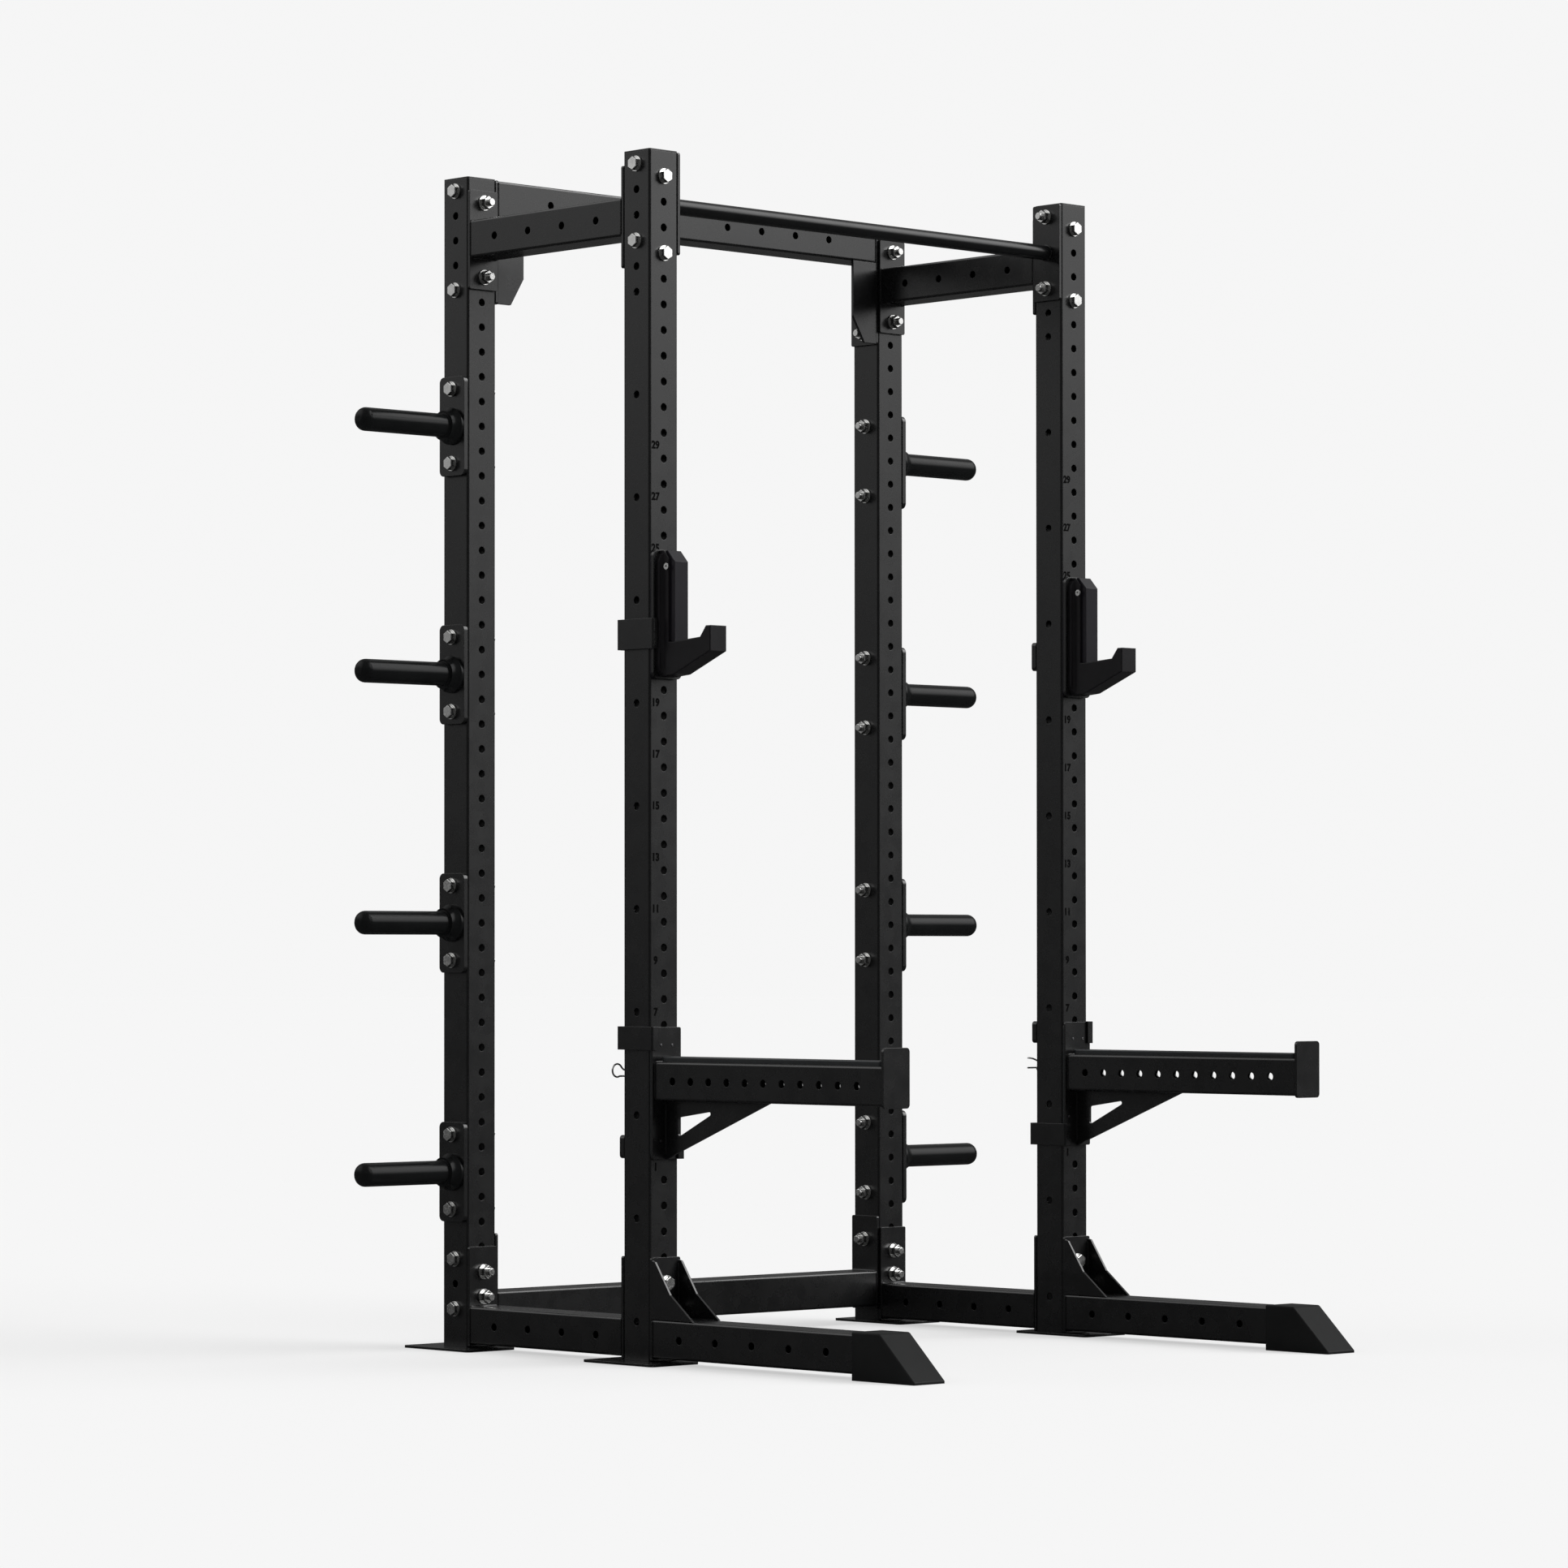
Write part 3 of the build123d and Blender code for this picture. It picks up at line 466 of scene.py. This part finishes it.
# ---------------------------------------------------------------- threads on the bolt ends
def islands(thing):
    """The separate closed shapes of an object, as lists of positions."""
    shape = bmesh.new()
    shape.from_mesh(thing.data)
    bmesh.ops.remove_doubles(shape, verts=shape.verts, dist=0.00001)
    waiting = set(shape.verts)
    groups = []
    while waiting:
        front = [waiting.pop()]
        group = list(front)
        while front:
            vertex = front.pop()
            for edge in vertex.link_edges:
                other = edge.other_vert(vertex)
                if other in waiting:
                    waiting.remove(other)
                    group.append(other)
                    front.append(other)
        groups.append([thing.matrix_world @ vertex.co for vertex in group])
    shape.free()
    return groups


def thread_run(shape, tip, outward):
    """Ridged sleeve over the last turns of a bolt, ending at its bevelled tip."""
    helper = Vector((0, 0, 1))
    across = outward.cross(helper).normalized()
    up = outward.cross(across)
    start = tip - outward * (BOLT_BEVEL + THREAD_PITCH * THREAD_COUNT)
    rings = []
    for half_turn in range(2 * THREAD_COUNT + 1):
        radius = THREAD_CREST if half_turn % 2 else THREAD_ROOT
        place = start + outward * (half_turn * THREAD_PITCH / 2)
        rings.append(ring_of(shape, place, across, up, radius, 24))
    for first, second in zip(rings, rings[1:]):
        join_rings(shape, first, second)
    shape.faces.new(rings[0])
    shape.faces.new(list(reversed(rings[-1])))


def bolt_threads(shape):
    for places in islands(nodes["frame_bolts"]):
        low = Vector([min(place[axis] for place in places) for axis in range(3)])
        high = Vector([max(place[axis] for place in places) for axis in range(3)])
        axis = max(range(3), key=lambda index: high[index] - low[index])
        middle = (low + high) / 2
        near_low = [place for place in places if place[axis] < low[axis] + 0.001]
        others = [index for index in range(3) if index != axis]
        spread = max(math.hypot(place[others[0]] - middle[others[0]],
                                place[others[1]] - middle[others[1]]) for place in near_low)
        outward = Vector((0, 0, 0))
        outward[axis] = 1.0 if spread > HEAD_RADIUS else -1.0
        tip = middle.copy()
        tip[axis] = high[axis] if spread > HEAD_RADIUS else low[axis]
        thread_run(shape, tip, outward)


piece_from("bolt_threads", bolt_threads, ZINC, "frame")


# ---------------------------------------------------------------- hole numbers
def number_plate(side):
    """Odd numbers printed beside the hole column on a front upright."""
    low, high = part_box(f"upright_front_{side}")
    column = (low[0] + high[0]) / 2
    joined = []
    for number in range(1, 31, 2):
        curve = bpy.data.curves.new(f"number_{side}_{number}", "FONT")
        curve.body = str(number)
        curve.size = NUMBER_HEIGHT * 1.35
        curve.align_x = "CENTER"
        curve.align_y = "CENTER"
        curve.extrude = INK_HEIGHT
        curve.offset = INK_SPREAD
        thing = bpy.data.objects.new(curve.name, curve)
        height = FIRST_NUMBER_Z + HOLE_PITCH * (number - 1)
        thing.matrix_world = (Matrix.Translation((column - NUMBER_OFFSET, low[1] - 0.0001, height))
                              @ Matrix.Rotation(math.pi / 2, 4, "X"))
        bpy.context.collection.objects.link(thing)
        joined.append(thing)
    bpy.context.view_layer.update()
    depsgraph = bpy.context.evaluated_depsgraph_get()
    shape = bmesh.new()
    for thing in joined:
        mesh = bpy.data.meshes.new_from_object(thing.evaluated_get(depsgraph))
        mesh.transform(thing.matrix_world)
        shape.from_mesh(mesh)
        bpy.data.meshes.remove(mesh)
        bpy.data.objects.remove(thing)
    mesh = bpy.data.meshes.new(f"hole_numbers_{side}")
    shape.to_mesh(mesh)
    shape.free()
    mesh.materials.append(INK)
    piece = bpy.data.objects.new(f"hole_numbers_{side}", mesh)
    bpy.context.collection.objects.link(piece)
    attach(piece, "frame")


number_plate("left")
number_plate("right")


# ---------------------------------------------------------------- studio
BACKDROP = 0.92                  # linear value of the pale backdrop
SHADOW_FADE = 0.6                # how much of the floor's shadow is washed out
FLOOR_RADIUS = 90.0
SKY_LOW, SKY_HIGH = 0.1183, 0.5089               # heights between which the sky brightens
SKY_DIM, SKY_BRIGHT = 0.0855, 0.3556
LOBES = (((0.67, -0.74, 0.77), 10, 36.8, 5.66),  # aim, inner and outer angle, strength
         ((-0.67, 0.74, 0.68), 8, 35.1, 1.30))


def add_floor():
    shape = bmesh.new()
    bmesh.ops.create_circle(shape, cap_ends=True, segments=96, radius=FLOOR_RADIUS)
    mesh = bpy.data.meshes.new("studio_floor")
    shape.to_mesh(mesh)
    shape.free()
    floor = bpy.data.objects.new("studio_floor", mesh)
    bpy.context.collection.objects.link(floor)
    floor.location.z = -0.0004
    material, tree, shader = new_material("studio_floor")
    shader.inputs["Base Color"].default_value = (0.8, 0.8, 0.8, 1.0)
    shader.inputs["Roughness"].default_value = 1.0
    shader.inputs["Specular IOR Level"].default_value = 0.0
    # To glossy rays the floor is near black: painted shade, so the frame's lower faces reflect
    # dark instead of the pale floor.
    glossy_painted_shade = tree.nodes.new("ShaderNodeBsdfDiffuse")
    glossy_painted_shade.inputs["Color"].default_value = (0.06, 0.06, 0.06, 1.0)
    path = tree.nodes.new("ShaderNodeLightPath")
    mix = tree.nodes.new("ShaderNodeMixShader")
    output = tree.nodes["Material Output"]
    tree.links.new(path.outputs["Is Glossy Ray"], mix.inputs[0])
    tree.links.new(shader.outputs["BSDF"], mix.inputs[1])
    tree.links.new(glossy_painted_shade.outputs["BSDF"], mix.inputs[2])
    glow = tree.nodes.new("ShaderNodeEmission")
    glow.inputs["Strength"].default_value = BACKDROP
    share = tree.nodes.new("ShaderNodeMath")
    share.operation = "MULTIPLY"
    share.inputs[1].default_value = SHADOW_FADE
    tree.links.new(path.outputs["Is Camera Ray"], share.inputs[0])
    faded = tree.nodes.new("ShaderNodeMixShader")
    tree.links.new(share.outputs["Value"], faded.inputs[0])
    tree.links.new(mix.outputs["Shader"], faded.inputs[1])
    tree.links.new(glow.outputs["Emission"], faded.inputs[2])
    tree.links.new(faded.outputs["Shader"], output.inputs["Surface"])
    mesh.materials.append(material)


def soft_lobe(tree, direction, aim, inner, outer, strength):
    """Soft round patch of light in the surroundings, towards an aim direction."""
    dot = tree.nodes.new("ShaderNodeVectorMath")
    dot.operation = "DOT_PRODUCT"
    dot.inputs[1].default_value = Vector(aim).normalized()
    tree.links.new(direction, dot.inputs[0])
    patch = tree.nodes.new("ShaderNodeMapRange")
    patch.interpolation_type = "SMOOTHSTEP"
    patch.inputs["From Min"].default_value = math.cos(math.radians(outer))
    patch.inputs["From Max"].default_value = math.cos(math.radians(inner))
    patch.inputs["To Min"].default_value = 0.0
    patch.inputs["To Max"].default_value = strength
    tree.links.new(dot.outputs["Value"], patch.inputs["Value"])
    return patch.outputs["Result"]


def add_world():
    world = bpy.data.worlds.new("studio")
    bpy.context.scene.world = world
    world.use_nodes = True
    tree = world.node_tree
    background = tree.nodes["Background"]
    place = tree.nodes.new("ShaderNodeTexCoord")
    direction = place.outputs["Generated"]
    split = tree.nodes.new("ShaderNodeSeparateXYZ")
    tree.links.new(direction, split.inputs["Vector"])
    rise = tree.nodes.new("ShaderNodeMapRange")
    rise.interpolation_type = "SMOOTHSTEP"
    rise.inputs["From Min"].default_value = SKY_LOW
    rise.inputs["From Max"].default_value = SKY_HIGH
    rise.inputs["To Min"].default_value = SKY_DIM
    rise.inputs["To Max"].default_value = SKY_BRIGHT
    tree.links.new(split.outputs["Z"], rise.inputs["Value"])
    total = rise.outputs["Result"]
    for aim, inner, outer, strength in LOBES:
        add = tree.nodes.new("ShaderNodeMath")
        add.operation = "ADD"
        tree.links.new(total, add.inputs[0])
        tree.links.new(soft_lobe(tree, direction, aim, inner, outer, strength), add.inputs[1])
        total = add.outputs["Value"]
    path = tree.nodes.new("ShaderNodeLightPath")
    seen = tree.nodes.new("ShaderNodeMix")
    seen.data_type = "FLOAT"
    tree.links.new(path.outputs["Is Camera Ray"], seen.inputs["Factor"])
    tree.links.new(total, seen.inputs["A"])
    seen.inputs["B"].default_value = BACKDROP
    tree.links.new(seen.outputs["Result"], background.inputs["Strength"])
    background.inputs["Color"].default_value = (1.0, 1.0, 1.0, 1.0)


def add_camera():
    """Long lens from the front left, standing a little below chest height."""
    data = bpy.data.cameras.new("camera")
    data.lens = 127.57
    data.sensor_width = 36.0
    data.shift_x = 0.1272
    data.shift_y = 0.0498
    data.clip_end = 400.0
    camera = bpy.data.objects.new("camera", data)
    bpy.context.collection.objects.link(camera)
    yaw = 0.74056
    pitch = 0.01628
    look = Vector((math.sin(yaw) * math.cos(pitch), math.cos(yaw) * math.cos(pitch),
                   math.sin(pitch)))
    camera.location = (-8.1023, -7.9577, 0.8088)
    camera.rotation_euler = look.to_track_quat("-Z", "Y").to_euler()
    bpy.context.scene.camera = camera


add_floor()
add_world()
add_camera()
bpy.context.scene.view_settings.view_transform = "Standard"
